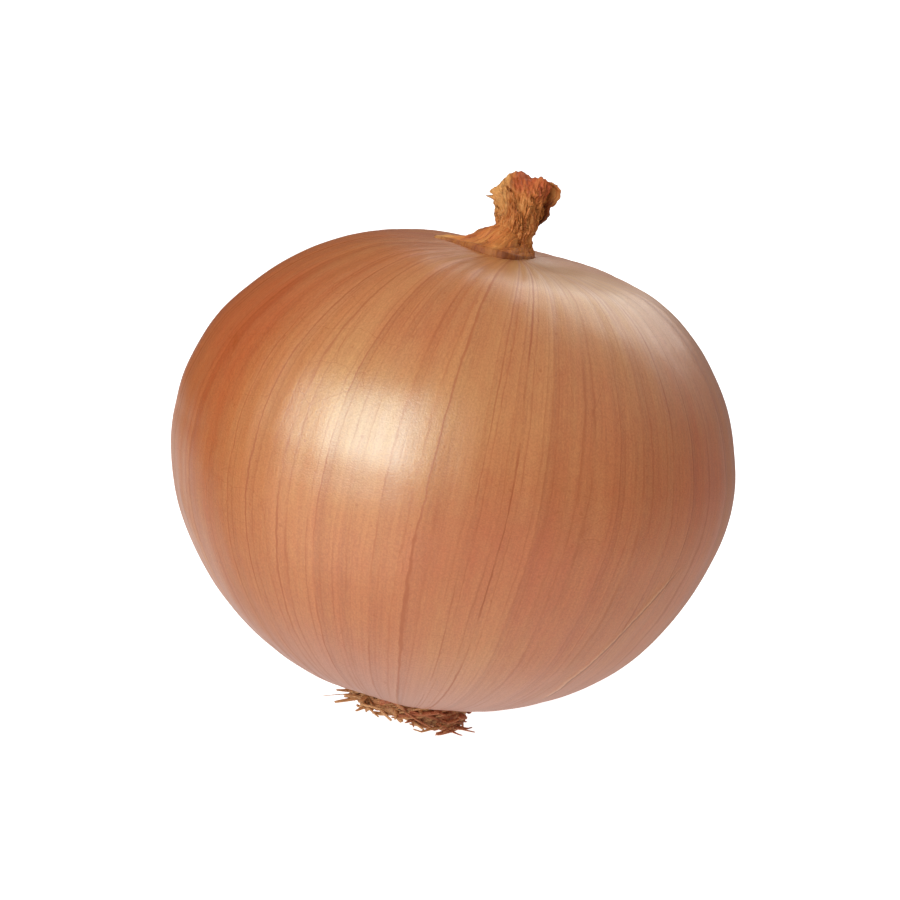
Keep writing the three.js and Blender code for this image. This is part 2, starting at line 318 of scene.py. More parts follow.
class StudioSettings(bpy.types.PropertyGroup):
    """The pale studio"""

    camera_height: bpy.props.FloatProperty(
        name="Camera elevation",
        description="How far above level the camera looks from",
        default=math.radians(10),
        unit="ROTATION",
    )
    camera_distance: bpy.props.FloatProperty(
        name="Camera distance",
        description="From the camera to the onion's middle",
        default=0.6,
        unit="LENGTH",
    )
    view_width: bpy.props.FloatProperty(
        name="View width",
        description="Width of the picture at the onion's middle",
        default=127.44 * MM,
        unit="LENGTH",
    )
    window_power: bpy.props.FloatProperty(
        name="Window light",
        description="Power of the big soft light at the front left",
        default=5.7,
        unit="POWER",
    )
    sheen_power: bpy.props.FloatProperty(
        name="Window sheen",
        description="Extra light in the middle of the window, seen only in the skin's gloss",
        default=4.8,
        unit="POWER",
    )
    front_power: bpy.props.FloatProperty(
        name="Front fill",
        description="Power of the weak light low at the front right",
        default=1.4,
        unit="POWER",
    )
    table_power: bpy.props.FloatProperty(
        name="Table sheen",
        description="Light from the table at the front left, seen only in the skin's gloss",
        default=2.1,
        unit="POWER",
    )
    top_power: bpy.props.FloatProperty(
        name="Top fill",
        description="Weak light from above and behind, not seen in the gloss",
        default=3.1,
        unit="POWER",
    )
    under_power: bpy.props.FloatProperty(
        name="Under fill",
        description="Weak light from below and behind, not seen in the gloss",
        default=2.2,
        unit="POWER",
    )
    edge_power: bpy.props.FloatProperty(
        name="Edge sheen",
        description="Light low at the back left, seen only in the skin's gloss",
        default=0.9,
        unit="POWER",
    )
    back_power: bpy.props.FloatProperty(
        name="Back sheen",
        description="Light above and behind at the right, seen only in the skin's gloss",
        default=2.9,
        unit="POWER",
    )
    surroundings: bpy.props.FloatProperty(
        name="Surroundings",
        description="Brightness of the white surroundings",
        default=0.85,
        min=0,
        max=2,
    )
    floor_glow: bpy.props.FloatProperty(
        name="Floor glow",
        description="Light that the white floor gives of itself",
        default=1.0,
        min=0,
        max=2,
    )


# Shapes


def smooth_between(value, low, high):
    """0 below low, 1 above high and a smooth rise between."""
    share = np.clip((value - low) / (high - low), 0, 1)
    return share * share * (3 - 2 * share)


def spots(x, y, z):
    """One place for each of the given coordinates; a single number holds for all of them."""
    return np.stack(np.broadcast_arrays(x, y, z), axis=1)


def outline_at(share):
    """The bulb's radius and height at a share of the way from the roots to the neck."""
    last = len(OUTLINE) - 1
    place = np.clip(share, 0, 1) * last
    step = np.minimum(place.astype(int), last - 1)
    t = (place - step)[:, None]
    before = OUTLINE[np.maximum(step - 1, 0)]
    start = OUTLINE[step]
    end = OUTLINE[step + 1]
    after = OUTLINE[np.minimum(step + 2, last)]
    leaving = (end - before) / 2
    arriving = (after - start) / 2
    cubic = 2 * start - 2 * end + leaving + arriving
    square = -3 * start + 3 * end - 2 * leaving - arriving
    return cubic * t**3 + square * t**2 + leaving * t + start


def vein_turns(count):
    """Where the main veins run, as turns round the axis, unevenly spaced."""
    draw = np.random.default_rng(44)
    wander = 0.3 * draw.uniform(-1, 1, count)
    return (np.arange(count) + wander) * 2 * math.pi / count


def vein_place(turn, count):
    """How many veins lie between turn 0 and this turn, with shares."""
    turns = vein_turns(count)
    around = np.append(turns, turns[0] + 2 * math.pi)
    lifted = np.where(turn < turns[0], turn + 2 * math.pi, turn)
    return np.interp(lifted, around, np.arange(count + 1))


def rough(points, scale, seed):
    """Smooth random values from -1 to 1 at each of the points."""
    offset = Vector((seed * 7.3, seed * 3.1, seed * 5.7))
    return np.array([noise.noise(Vector(p) * scale + offset) for p in points])


def skin_points(turn, share, veins):
    """Places on the onion's skin in millimetres, in its own upright frame."""
    at = outline_at(share)
    radius = at[:, 0]
    height = at[:, 1]
    widest = OUTLINE[:, 0].max()
    opening = 1 - np.clip(radius / widest, 0, 1) ** 2
    upper = height > 0
    belly = BELLY_SHIFT * np.sin(BELLY_WAVE * height) * (height > BELLY_BOTTOM)
    shift = np.where(upper, NECK_SHIFT * opening**1.5, belly)
    gather = np.where(upper, SHOULDER_RISE * np.exp(-((radius / SHOULDER_SPREAD) ** 2)), 0)
    tilt = np.where(upper, -TOP_TILT * radius * np.cos(turn) * opening**3, 0)
    x = radius * np.cos(turn) + shift
    y = radius * np.sin(turn)
    z = height + gather + tilt
    skin = spots(x, y, z)
    place = vein_place(turn, veins)
    crest = np.cos(2 * math.pi * place)
    fine = np.cos(2 * math.pi * 2 * place + 4 * np.sin(3 * turn))
    gathered = np.exp(-((radius / 15) ** 2)) * np.clip(radius / 4, 0, 1)
    ribs = 0.012 * gathered * crest + 0.008 * gathered * fine + 0.02 * crest * np.clip(radius / 20, 0, 1)
    lobes = 0.2 * np.cos(5 * turn + 1.3) + 0.15 * np.cos(8 * turn + 0.4)
    lie = spots(radius * np.cos(turn), radius * np.sin(turn), height * 0.25)
    dents = 0.1 * rough(lie, 0.11, 3) + 0.05 * rough(lie, 0.3, 5)
    off, strength = crease_place(turn, share)
    fold = strength * (smooth_between(off, -0.7, 0.0) - smooth_between(off, 0.0, 4.5))
    relief = ribs + lobes * radius / widest + dents * np.clip(radius / 12, 0, 1) + CREASE_HEIGHT * fold
    outwards = skin / np.linalg.norm(skin, axis=1)[:, None]
    return skin + outwards * relief[:, None]


# Dry creases in the skin, each as its strength, shares of the way up, and the turn at each
CREASES = (
    (1.0, (0.205, 0.274, 0.315, 0.356, 0.4, 0.44), (5.55, 5.5, 5.53, 5.585, 5.655, 5.75)),
    (0.9, (0.33, 0.345, 0.367, 0.386, 0.41), (3.475, 3.473, 3.464, 3.43, 3.42)),
    (0.3, (0.1, 0.15, 0.2, 0.24), (4.63, 4.63, 4.62, 4.612)),
)

# Golden and deep orange areas as [degrees left of the front, degrees up, spread, amount]; the first two
# golden areas are painted sheen, set where the window sheen and the back sheen glint
GOLD_AND_SHEEN_TINTS = (
    (18, 24, 23, 0.74),
    (-48, 66, 23, 0.86),
    (-36, 0, 30, -0.14),
    (66, 30, 17, -0.34),
    (18, 36, 12, -0.39),
    (-6, 0, 12, -0.28),
    (-60, 12, 12, -0.24),
    (-12, -36, 12, 0.18),
)


def golden(places):
    """How golden the skin is at each place, from deep orange at 0 to gold at 1; the first two golden areas
    are painted sheen where the lights glint.
    """
    ways = places - np.array([0, 0, BULB_MIDDLE])
    ways = ways / np.linalg.norm(ways, axis=1)[:, None]
    amount = np.full(len(places), PLAIN_GOLD)
    for left, up, spread, much in GOLD_AND_SHEEN_TINTS:
        left, up = math.radians(left), math.radians(up)
        centre = np.array([-math.sin(left) * math.cos(up), -math.cos(left) * math.cos(up), math.sin(up)])
        away = np.degrees(np.arccos(np.clip(ways @ centre, -1, 1)))
        amount = amount + much * np.exp(-((away / spread) ** 2))
    return np.clip(amount, 0, 1)


def crease_place(turn, share):
    """Millimetres past the nearest crease, and how strong it is at this level."""
    radius = outline_at(share)[:, 0]
    nowhere = 99.0
    nearest = np.full(len(turn), nowhere)
    strength = np.zeros(len(turn))
    for most, shares, turns in CREASES:
        off = (turn - np.interp(share, shares, turns)) * radius
        past_end = np.maximum(shares[0] - share, share - shares[-1]).clip(0, 1) * SKIN_LENGTH
        here = np.where(past_end > 0.6, nowhere, off)
        ends = smooth_between(share, shares[0], shares[0] + 0.03)
        ends = ends * (1 - smooth_between(share, shares[-1] - 0.04, shares[-1]))
        closer = np.abs(here) < np.abs(nearest)
        nearest = np.where(closer, here, nearest)
        strength = np.where(closer, most * ends, strength)
    return nearest, strength


def ridges(points, scale, seed):
    """Sharp creases from -1 to 1 at each of the points."""
    return 1 - 3.2 * np.abs(rough(points, scale, seed))


def neck_place(turn, share, outside):
    """Places on the flattened neck in millimetres, with how high each crease stands there."""
    left = np.interp(share, NECK_ROWS[:, 0], NECK_ROWS[:, 1])
    right = np.interp(share, NECK_ROWS[:, 0], NECK_ROWS[:, 2])
    depth = np.interp(share, NECK_ROWS[:, 0], NECK_ROWS[:, 3])
    x = (left + right) / 2 + (right - left) / 2 * np.cos(turn)
    height = NECK_FOOT + share * (np.interp(x, *NECK_TOP.T) - NECK_FOOT)
    swing = turn + 0.07 * height
    lie = spots(2.6 * np.cos(swing), 2.6 * np.sin(swing), height * 0.24)
    crease = 0.28 * ridges(lie, 0.8, 61) + 0.38 * ridges(lie, 2.0, 62) + 0.34 * ridges(lie, 4.3, 63)
    crumple = spots(x * 0.8, depth * np.sin(turn), height * 0.9)
    crease = crease + 0.35 * smooth_between(share, 0.55, 0.9) * ridges(crumple, 0.8, 64)
    pinch = smooth_between(1 - share, 0, 0.05)
    out = (0.5 * crease + outside) * pinch
    edge = 0.22 * rough(spots(0, 3, height * 2.4), 1.0, 65)
    sway = 0.9 * rough(spots(x * 0.5, 0, 0), 1.0, 66) * smooth_between(share, 0.7, 1)
    jags = 0.3 * rough(spots(x * 2.6, 0, 0), 1.0, 67) * smooth_between(share, 0.9, 1)
    spike = 0.75 * np.exp(-(((height - NECK_SPIKE) / 0.14) ** 2))
    notch = 0.4 * np.exp(-(((height - NECK_NOTCH) / 0.12) ** 2))
    x = x - (spike - notch) * smooth_between(-np.cos(turn), 0.9, 1)
    across = NECK_SHIFT + x + out * np.cos(turn) + edge * np.cos(turn) * share
    return spots(across, (depth + out) * np.sin(turn) + sway, NECK_BASE + height + jags), crease


def stand(points, settings):
    """Turns places in the onion's own frame, in millimetres, into places on the floor, in metres."""
    lean = settings.lean
    x = points[:, 0] * math.cos(lean) + points[:, 2] * math.sin(lean)
    z = points[:, 2] * math.cos(lean) - points[:, 0] * math.sin(lean)
    placed = spots(x, points[:, 1], z) * MM
    return placed + np.array([settings.sidestep, 0, settings.widest_level])


# Mesh helpers


def clear_selection():
    bpy.ops.object.select_all(action="DESELECT")


def take(piece):
    """Makes this the one selected and active object."""
    clear_selection()
    piece.select_set(True)
    bpy.context.view_layer.objects.active = piece


def corners_of(mesh):
    flat = np.empty(len(mesh.vertices) * 3)
    mesh.vertices.foreach_get("co", flat)
    return flat.reshape(-1, 3)


def move_corners(mesh, places):
    mesh.vertices.foreach_set("co", places.astype(np.float32).ravel())
    mesh.update()


def name_piece(piece, name):
    piece.name = name
    piece.data.name = name
    return piece


def finish_piece(piece, finish, slot, *nodes):
    """Gives a piece its material and ties it to the onion's body."""
    piece.data.materials.clear()
    piece.data.materials.append(finish)
    take(piece)
    bpy.ops.object.shade_smooth()
    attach(piece, "root")
    if nodes:
        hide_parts(*nodes)


def apply_wall(piece, thickness, offset):
    """Gives an open sheet a thickness."""
    take(piece)
    wall = piece.modifiers.new("wall", "SOLIDIFY")
    wall.thickness = thickness * MM
    wall.offset = offset
    bpy.ops.object.modifier_apply(modifier=wall.name)


def join_pieces(pieces, name):
    clear_selection()
    for each in pieces:
        each.select_set(True)
    bpy.context.view_layer.objects.active = pieces[0]
    bpy.ops.object.join()
    return name_piece(pieces[0], name)


def write_attribute(mesh, name, kind, values):
    layer = mesh.attributes.new(name, kind, "POINT")
    key = "vector" if kind == "FLOAT_VECTOR" else "value"
    layer.data.foreach_set(key, values.astype(np.float32).ravel())


# Materials

# Main, fine and hair-thin veins, each as how many to a main vein, width in millimetres, and strength
VEIN_KINDS = ((1.0, 0.14, 0.9), (2.0, 0.11, 0.45), (5.0, 0.09, 0.14))
# Painted highlight along the pale edge of the skin's creases
CREASE_PAINTED_HIGHLIGHT = (0.72, 0.42, 0.24, 1)
SKIN_GLOSS_TINT = (1.0, 0.97, 0.86, 1)


class Wiring:
    """Nodes of a material or of the surroundings, added and wired one by one."""

    def __init__(self, tree):
        self.tree = tree

    def add(self, kind, **settings):
        node = self.tree.nodes.new(kind)
        for key, value in settings.items():
            setattr(node, key, value)
        return node

    def put(self, node, key, value):
        """Sets an input to a value, or wires it to another node's output."""
        if isinstance(value, bpy.types.NodeSocket):
            self.tree.links.new(value, node.inputs[key])
        else:
            node.inputs[key].default_value = value

    def attribute(self, name, output="Fac"):
        """What a piece's mesh says at each place under this name."""
        return self.add("ShaderNodeAttribute", attribute_name=name).outputs[output]

    def math(self, operation, first, second=0.0, third=0.0, clamp=False):
        node = self.add("ShaderNodeMath", operation=operation, use_clamp=clamp)
        self.put(node, 0, first)
        self.put(node, 1, second)
        self.put(node, 2, third)
        return node.outputs[0]

    def plus(self, first, second, clamp=False):
        return self.math("ADD", first, second, clamp=clamp)

    def times(self, first, second, clamp=False):
        return self.math("MULTIPLY", first, second, clamp=clamp)

    def between(self, value, low, high, start=0.0, end=1.0):
        """A smooth step from start to end as the value goes from low to high."""
        node = self.add("ShaderNodeMapRange", interpolation_type="SMOOTHSTEP")
        self.put(node, 0, value)
        for key, number in ((1, low), (2, high), (3, start), (4, end)):
            self.put(node, key, number)
        return node.outputs[0]

    def blend(self, share, first, second, way="MIX"):
        """The first colour where the share is 0, the second where it is 1."""
        node = self.add("ShaderNodeMix", data_type="RGBA", blend_type=way)
        self.put(node, 0, share)
        self.put(node, 6, first)
        self.put(node, 7, second)
        return node.outputs[2]

    def stretched(self, vector, scale, shift=(0, 0, 0)):
        node = self.add("ShaderNodeMapping")
        self.put(node, "Vector", vector)
        node.inputs["Scale"].default_value = scale
        node.inputs["Location"].default_value = shift
        return node.outputs[0]

    def grain(self, vector, scale, detail=2.0, roughness=0.5):
        """Smooth random values."""
        node = self.add("ShaderNodeTexNoise")
        self.put(node, "Vector", vector)
        self.put(node, "Scale", scale)
        self.put(node, "Detail", detail)
        self.put(node, "Roughness", roughness)
        return node.outputs[0]

    def one_value(self, value, seed=0.0):
        """A random number from 0 to 1 for each whole number."""
        node = self.add("ShaderNodeTexWhiteNoise", noise_dimensions="1D")
        self.put(node, "W", self.plus(value, seed))
        return node.outputs["Value"]

    def bump(self, height, distance, strength=1.0, under=None):
        node = self.add("ShaderNodeBump")
        self.put(node, "Height", height)
        node.inputs["Distance"].default_value = distance
        node.inputs["Strength"].default_value = strength
        if under is not None:
            self.put(node, "Normal", under)
        return node.outputs[0]


class Surface(Wiring):
    """A material with its shader."""

    def __init__(self, name):
        self.material = bpy.data.materials.new(name)
        self.material.use_nodes = True
        super().__init__(self.material.node_tree)
        self.tree.nodes.clear()
        self.shader = self.add("ShaderNodeBsdfPrincipled")
        output = self.add("ShaderNodeOutputMaterial")
        self.tree.links.new(self.shader.outputs[0], output.inputs[0])


def solid(shade):
    return (*shade, 1.0)


def skin_surface(settings):
    """Papery onion skin: orange to gold with painted sheen where the lights glint, pinkish lower down with
    painted reflection of the floor, thin brown veins, fibres, creases with painted shade and highlight, and
    fine cracks.
    """
    skin = Surface("onion skin")
    around = skin.attribute("around", "Vector")
    pitch = skin.attribute("pitch")
    level = skin.attribute("level")
    gold = skin.attribute("gold")
    place = skin.add("ShaderNodeUVMap", uv_map="veins").outputs[0]
    split = skin.add("ShaderNodeSeparateXYZ")
    skin.put(split, 0, place)
    number = split.outputs[0]

    # Soft patches and long streaks of deep orange and gold
    patches = skin.grain(skin.stretched(around, (1, 1, 0.45)), 0.06, 4.0, 0.6)
    streaky = skin.grain(skin.stretched(around, (1, 1, 0.06)), 0.3, 4.0, 0.65)
    mottle = skin.grain(skin.stretched(around, (1, 1, 0.7)), 0.55, 4.0, 0.7)
    # The gold attribute holds the skin's golden tone and painted sheen: gold where the window sheen and back
    # sheen glint
    tint = skin.plus(gold, skin.between(patches, 0.32, 0.68, -0.08, 0.08))
    tint = skin.plus(tint, skin.between(streaky, 0.32, 0.68, -0.07, 0.07))
    tint = skin.plus(tint, skin.between(mottle, 0.3, 0.7, -0.07, 0.07), clamp=True)
    ramp = skin.add("ShaderNodeValToRGB")
    skin.put(ramp, 0, tint)
    colours = ramp.color_ramp.elements
    colours[0].color = solid(settings.skin_orange)
    colours[1].position = 1.0
    colours[1].color = solid(settings.skin_gold_and_sheen)
    middle = colours.new(PLAIN_GOLD)
    middle.color = solid(settings.skin_tan)
    colour = ramp.outputs[0]
    # Pinkish brown towards the bottom: partly the skin's tone, partly painted reflection of the pale floor
    low = skin.between(level, -18, -36)
    colour = skin.blend(low, colour, solid(settings.skin_pink_and_floor_reflection))

    # Light and dark strips between the veins
    wobble = skin.grain(skin.stretched(around, (1, 1, 0.12)), 0.35, 3.0, 0.55)
    shiver = skin.grain(skin.stretched(around, (1, 1, 0.5), (5, 9, 0)), 1.1, 2.0, 0.5)
    bent = skin.plus(number, skin.times(wobble, 0.3))
    bent = skin.plus(bent, skin.times(shiver, 0.09))
    past = skin.math("FRACT", skin.plus(bent, 0.5))
    strip = skin.one_value(skin.math("FLOOR", skin.plus(bent, 0.5)), 5.0)
    edge = skin.times(skin.between(past, 0.0, 0.75, 1.0, 0.0), skin.between(past, 0.0, 0.05))
    fibres = skin.grain(skin.stretched(around, (1, 1, 0.035)), 1.7, 4.0, 0.7)
    speckle = skin.grain(around, 3.2, 2.0, 0.6)
    shade = skin.between(fibres, 0.3, 0.7, 0.955, 1.085)
    shade = skin.plus(shade, skin.between(strip, 0, 1, -0.03, 0.03))
    shade = skin.plus(shade, skin.times(edge, skin.between(strip, 0, 1, -0.1, -0.02)))
    shade = skin.plus(shade, skin.between(speckle, 0.3, 0.7, -0.1, 0.1))
    shades = skin.add("ShaderNodeCombineColor")
    for key, power in enumerate((0.8, 1.2, 1.5)):
        skin.put(shades, key, skin.math("POWER", shade, power))
    colour = skin.blend(1.0, colour, shades.outputs[0], "MULTIPLY")

    # Thin dark veins, each with its own strength, fading in and out along its length
    lines = None
    for key, (times, width, strength) in enumerate(VEIN_KINDS):
        count = skin.times(bent, times)
        off = skin.math("ABSOLUTE", skin.math("SUBTRACT", skin.math("FRACT", count), 0.5))
        gap = skin.times(off, skin.math("DIVIDE", pitch, times))
        own_number = skin.math("FLOOR", count)
        own = skin.one_value(own_number, 11.0 * key)
        fade = skin.grain(skin.stretched(around, (1, 1, 0.5), (0, 0, 9 * key)), 0.2, 3.0)
        weight = skin.times(skin.between(own, 0.0, 1.0, 0.4, 1.0), skin.between(fade, 0.26, 0.56))
        if key == 0:
            strongest = skin.math("COMPARE", own_number, float(settings.strongest_vein), 0.5)
            weight = skin.math("MAXIMUM", weight, skin.times(strongest, 0.85))
        line = skin.between(gap, width * 0.3, width * 1.7, strength, 0.0)
        line = skin.times(line, skin.between(gold, 0.1, 0.5, 1.2, 0.9))
        mark = skin.times(line, weight, clamp=True)
        lines = mark if lines is None else skin.math("MAXIMUM", lines, mark)
    colour = skin.blend(lines, colour, solid(settings.vein_brown))

    # Dry creases with painted shade on their dark side and a painted highlight along their pale edge
    off = skin.attribute("crease_off")
    strength = skin.attribute("crease_strength")
    jag = skin.plus(off, skin.between(skin.grain(around, 0.5, 3.0, 0.5), 0.2, 0.8, -0.15, 0.15))
    painted_shade_side = skin.times(skin.between(jag, 0.0, 0.06), skin.between(jag, 0.2, 0.5, 1.0, 0.0))
    painted_highlight_edge = skin.times(skin.between(jag, -0.55, -0.08), skin.between(jag, -0.06, 0.03, 1.0, 0.0))
    # Painted highlight along the crease's lip
    pale = skin.times(skin.times(painted_highlight_edge, strength), 0.35)
    colour = skin.blend(pale, colour, CREASE_PAINTED_HIGHLIGHT)
    # Painted shade down the crease's dark side
    dark = skin.times(skin.times(painted_shade_side, strength), 0.8)
    colour = skin.blend(dark, colour, solid(settings.crease_shade_brown))

    # Hairline cracks across the skin, in a few places
    cells = skin.add("ShaderNodeTexVoronoi", feature="DISTANCE_TO_EDGE")
    jagged = skin.add("ShaderNodeVectorMath", operation="ADD")
    shake = skin.add("ShaderNodeTexNoise")
    skin.put(shake, "Vector", around)
    skin.put(shake, "Scale", 0.5)
    skin.put(jagged, 0, around)
    skin.put(jagged, 1, shake.outputs["Color"])
    skin.put(cells, "Vector", skin.stretched(jagged.outputs[0], (0.6, 0.6, 1.0)))
    skin.put(cells, "Scale", 0.2)
    where = skin.between(skin.grain(skin.stretched(around, (1, 1, 1), (40, 7, 3)), 0.06), 0.5, 0.64)
    cracks = skin.times(skin.between(cells.outputs[0], 0.002, 0.012, 0.38, 0.0), where)
    colour = skin.blend(cracks, colour, solid(settings.vein_brown))

    # A few brown specks, and a reddish edge round the roots
    specks = skin.between(skin.grain(around, 0.9, 1.0, 0.4), 0.73, 0.78, 0.0, 0.4)
    colour = skin.blend(specks, colour, solid(settings.vein_brown))
    root_edge = skin.between(level, -34.3, -35.2)
    root_edge = skin.times(root_edge, skin.between(speckle, 0.35, 0.6, 0.8, 0.35))
    colour = skin.blend(root_edge, colour, solid(settings.root_red))
    skin.put(skin.shader, "Base Color", colour)

    # A soft gloss, broken by the fibres and the veins
    soft = skin.plus(skin.between(streaky, 0.3, 0.7, 0.33, 0.4), skin.times(lines, 0.12))
    skin.put(skin.shader, "Roughness", soft)
    skin.put(skin.shader, "Specular IOR Level", 1.0)
    skin.put(skin.shader, "Specular Tint", SKIN_GLOSS_TINT)
    ripples = skin.grain(skin.stretched(around, (1, 1, 0.35)), 0.22, 4.0, 0.55)
    spread = skin.math("DIVIDE", pitch, 2 * math.pi * OUTLINE[:, 0].max() / settings.veins)
    under = skin.bump(skin.times(ripples, spread), 0.12 * MM, 0.5)
    under = skin.bump(skin.times(fibres, spread), 0.035 * MM, 0.5, under)
    under = skin.bump(speckle, 0.035 * MM, 0.7, under)
    skin.put(skin.shader, "Normal", under)
    return skin.material


def dry_leaf_surface(settings):
    """Fibrous dry leaf: golden tan with painted shade darkening its creases, reddish towards the torn tips.
    """
    leaf = Surface("dry leaf")
    lie = leaf.attribute("lie", "Vector")
    red = leaf.attribute("red")
    hollow = leaf.attribute("hollow")
    streaks = leaf.grain(leaf.stretched(lie, (1, 1, 0.16)), 2.2, 5.0, 0.65)
    broad = leaf.grain(leaf.stretched(lie, (1, 1, 0.3)), 0.55, 3.0, 0.6)
    reddish = leaf.plus(red, leaf.between(broad, 0.3, 0.7, 0.1, -0.1))
    reddish = leaf.plus(reddish, leaf.between(streaks, 0.35, 0.65, 0.22, -0.22))
    colour = leaf.blend(leaf.between(reddish, 0.0, 0.5), solid(settings.leaf_gold), solid(settings.leaf_tan))
    colour = leaf.blend(leaf.between(reddish, 0.4, 1.1), colour, solid(settings.leaf_red))
    # Painted shade: the dark brown mixed in where the hollow attribute is high
    dark = leaf.between(hollow, 0.46, 0.97)
    dark = leaf.times(dark, leaf.between(streaks, 0.35, 0.6, 0.92, 0.58))
    colour = leaf.blend(dark, colour, solid(settings.leaf_shade_brown))
    # Painted shade: thin dark lines in the valleys of the streak bump
    thin = leaf.between(streaks, 0.46, 0.34, 0.0, 0.42)
    colour = leaf.blend(thin, colour, solid(settings.leaf_shade_brown))
    leaf.put(leaf.shader, "Base Color", colour)
    leaf.put(leaf.shader, "Roughness", leaf.between(streaks, 0.3, 0.7, 0.45, 0.65))
    leaf.put(leaf.shader, "Specular IOR Level", 0.2)
    fine = leaf.grain(leaf.stretched(lie, (1, 1, 0.1)), 5.0, 3.0, 0.6)
    under = leaf.bump(streaks, 0.4 * MM, 0.9)
    under = leaf.bump(fine, 0.07 * MM, 0.6, under)
    leaf.put(leaf.shader, "Normal", under)
    return leaf.material


def root_surface(settings):
    """Dry root fibre: tan to reddish brown, each root its own tone, with painted shade at the roots' starts
    and in the pad's creases.
    """
    root = Surface("dry root")
    own = root.attribute("own")
    lie = root.attribute("lie", "Vector")
    depth = root.attribute("depth")
    streaks = root.grain(root.stretched(lie, (1, 1, 0.3)), 2.6, 4.0, 0.6)
    shade = root.plus(own, root.between(streaks, 0.3, 0.7, -0.25, 0.25))
    colour = root.blend(root.between(shade, 0.1, 0.45), solid(settings.root_red), solid(settings.root_tan))
    colour = root.blend(root.between(streaks, 0.45, 0.3, 0.0, 0.6), colour, solid(settings.root_dark_and_shade))
    # Painted shade where the depth attribute is high, at the roots' starts and in the pad's creases
    colour = root.blend(depth, colour, solid(settings.root_dark_and_shade))
    root.put(root.shader, "Base Color", colour)
    root.put(root.shader, "Roughness", root.between(streaks, 0.3, 0.7, 0.55, 0.75))
    root.put(root.shader, "Specular IOR Level", 0.4)
    root.put(root.shader, "Normal", root.bump(streaks, 0.2 * MM, 0.7))
    return root.material


def floor_surface(glow):
    """Smooth pale studio floor."""
    floor = Surface("pale floor")
    spot = floor.add("ShaderNodeTexCoord").outputs["Object"]
    shade = floor.grain(spot, 9.0, 3.0)
    tone = floor.blend(floor.between(shade, 0.3, 0.7), (0.62, 0.62, 0.62, 1), (0.66, 0.66, 0.66, 1))
    floor.put(floor.shader, "Base Color", tone)
    floor.put(floor.shader, "Emission Color", (1, 1, 1, 1))
    floor.put(floor.shader, "Emission Strength", glow)
    floor.put(floor.shader, "Roughness", 0.7)
    floor.put(floor.shader, "Specular IOR Level", 0.2)
    return floor.material


# Pieces


class ONION_OT_skin(bpy.types.Operator):
    """Make the bulb in its papery skin"""

    bl_idname = "onion.skin"
    bl_label = "Bulb skin"
    bl_options = {"REGISTER", "UNDO"}

    def execute(self, context):
        settings = context.scene.onion
        clear_selection()
        bpy.ops.mesh.primitive_uv_sphere_add(
            segments=settings.columns, ring_count=settings.rings, radius=1, location=(0, 0, 0)
        )
        bulb = name_piece(context.object, "bulb_skin")
        mesh = bulb.data
        start = corners_of(mesh)
        turn = np.mod(np.arctan2(start[:, 1], start[:, 0]), 2 * math.pi)
        share = np.arcsin(np.clip(start[:, 2], -1, 1)) / math.pi + 0.5
        places = skin_points(turn, share, settings.veins)
        move_corners(mesh, stand(places, settings))

        at = outline_at(share)
        around = spots(GIRTH_RADIUS * np.cos(turn), GIRTH_RADIUS * np.sin(turn), share * SKIN_LENGTH)
        write_attribute(mesh, "around", "FLOAT_VECTOR", around)
        write_attribute(mesh, "pitch", "FLOAT", 2 * math.pi * at[:, 0] / settings.veins)
        write_attribute(mesh, "level", "FLOAT", at[:, 1])
        off, strength = crease_place(turn, share)
        write_attribute(mesh, "crease_off", "FLOAT", off)
        write_attribute(mesh, "crease_strength", "FLOAT", strength)
        write_attribute(mesh, "gold", "FLOAT", golden(places))
        self.map_veins(mesh, vein_place(turn, settings.veins), share, settings.veins)
        finish_piece(bulb, skin_surface(settings), "onion_skin", "bulb")
        return {"FINISHED"}

    def map_veins(self, mesh, place, share, veins):
        """Writes the vein number and the level to a UV map, without a jump where the turns meet."""
        layer = mesh.uv_layers.active or mesh.uv_layers.new()
        layer.name = "veins"
        poles = np.abs(share - 0.5) > 0.4999
        loops = np.empty(len(mesh.loops), dtype=np.int64)
        mesh.loops.foreach_get("vertex_index", loops)
        firsts = np.empty(len(mesh.polygons), dtype=np.int64)
        mesh.polygons.foreach_get("loop_start", firsts)
        counts = np.empty(len(mesh.polygons), dtype=np.int64)
        mesh.polygons.foreach_get("loop_total", counts)
        owner = np.repeat(np.arange(len(firsts)), counts)
        u = place[loops].copy()
        known = ~poles[loops]
        highest = np.full(len(firsts), -1e9)
        np.maximum.at(highest, owner[known], u[known])
        u = np.where(known & (highest[owner] - u > veins / 2), u + veins, u)
        total = np.zeros(len(firsts))
        np.add.at(total, owner[known], u[known])
        seen = np.zeros(len(firsts))
        np.add.at(seen, owner[known], 1)
        u = np.where(known, u, (total / seen)[owner])
        layer.data.foreach_set("uv", np.stack([u, share[loops]], axis=1).astype(np.float32).ravel())


def leaf_sheet(columns, rows, place, thickness, seed):
    """A dry leaf from a grid: place gives millimetre positions, redness and painted shade for its corners.
    """
    clear_selection()
    bpy.ops.mesh.primitive_grid_add(x_subdivisions=columns, y_subdivisions=rows, size=2, location=(0, 0, 0))
    leaf = bpy.context.object
    mesh = leaf.data
    start = corners_of(mesh)
    across = start[:, 0]
    along = (start[:, 1] + 1) / 2
    places, red, hollow = place(across, along)
    move_corners(mesh, stand(places, bpy.context.scene.onion))
    width = np.ptp(places[:, 0]) + np.ptp(places[:, 1])
    lie = spots(across * width / 2 + 31 * seed, 17.0 * seed, places[:, 2])
    write_attribute(mesh, "lie", "FLOAT_VECTOR", lie)
    write_attribute(mesh, "red", "FLOAT", red)
    write_attribute(mesh, "hollow", "FLOAT", hollow)
    if thickness:
        apply_wall(leaf, thickness, -1)
    return leaf


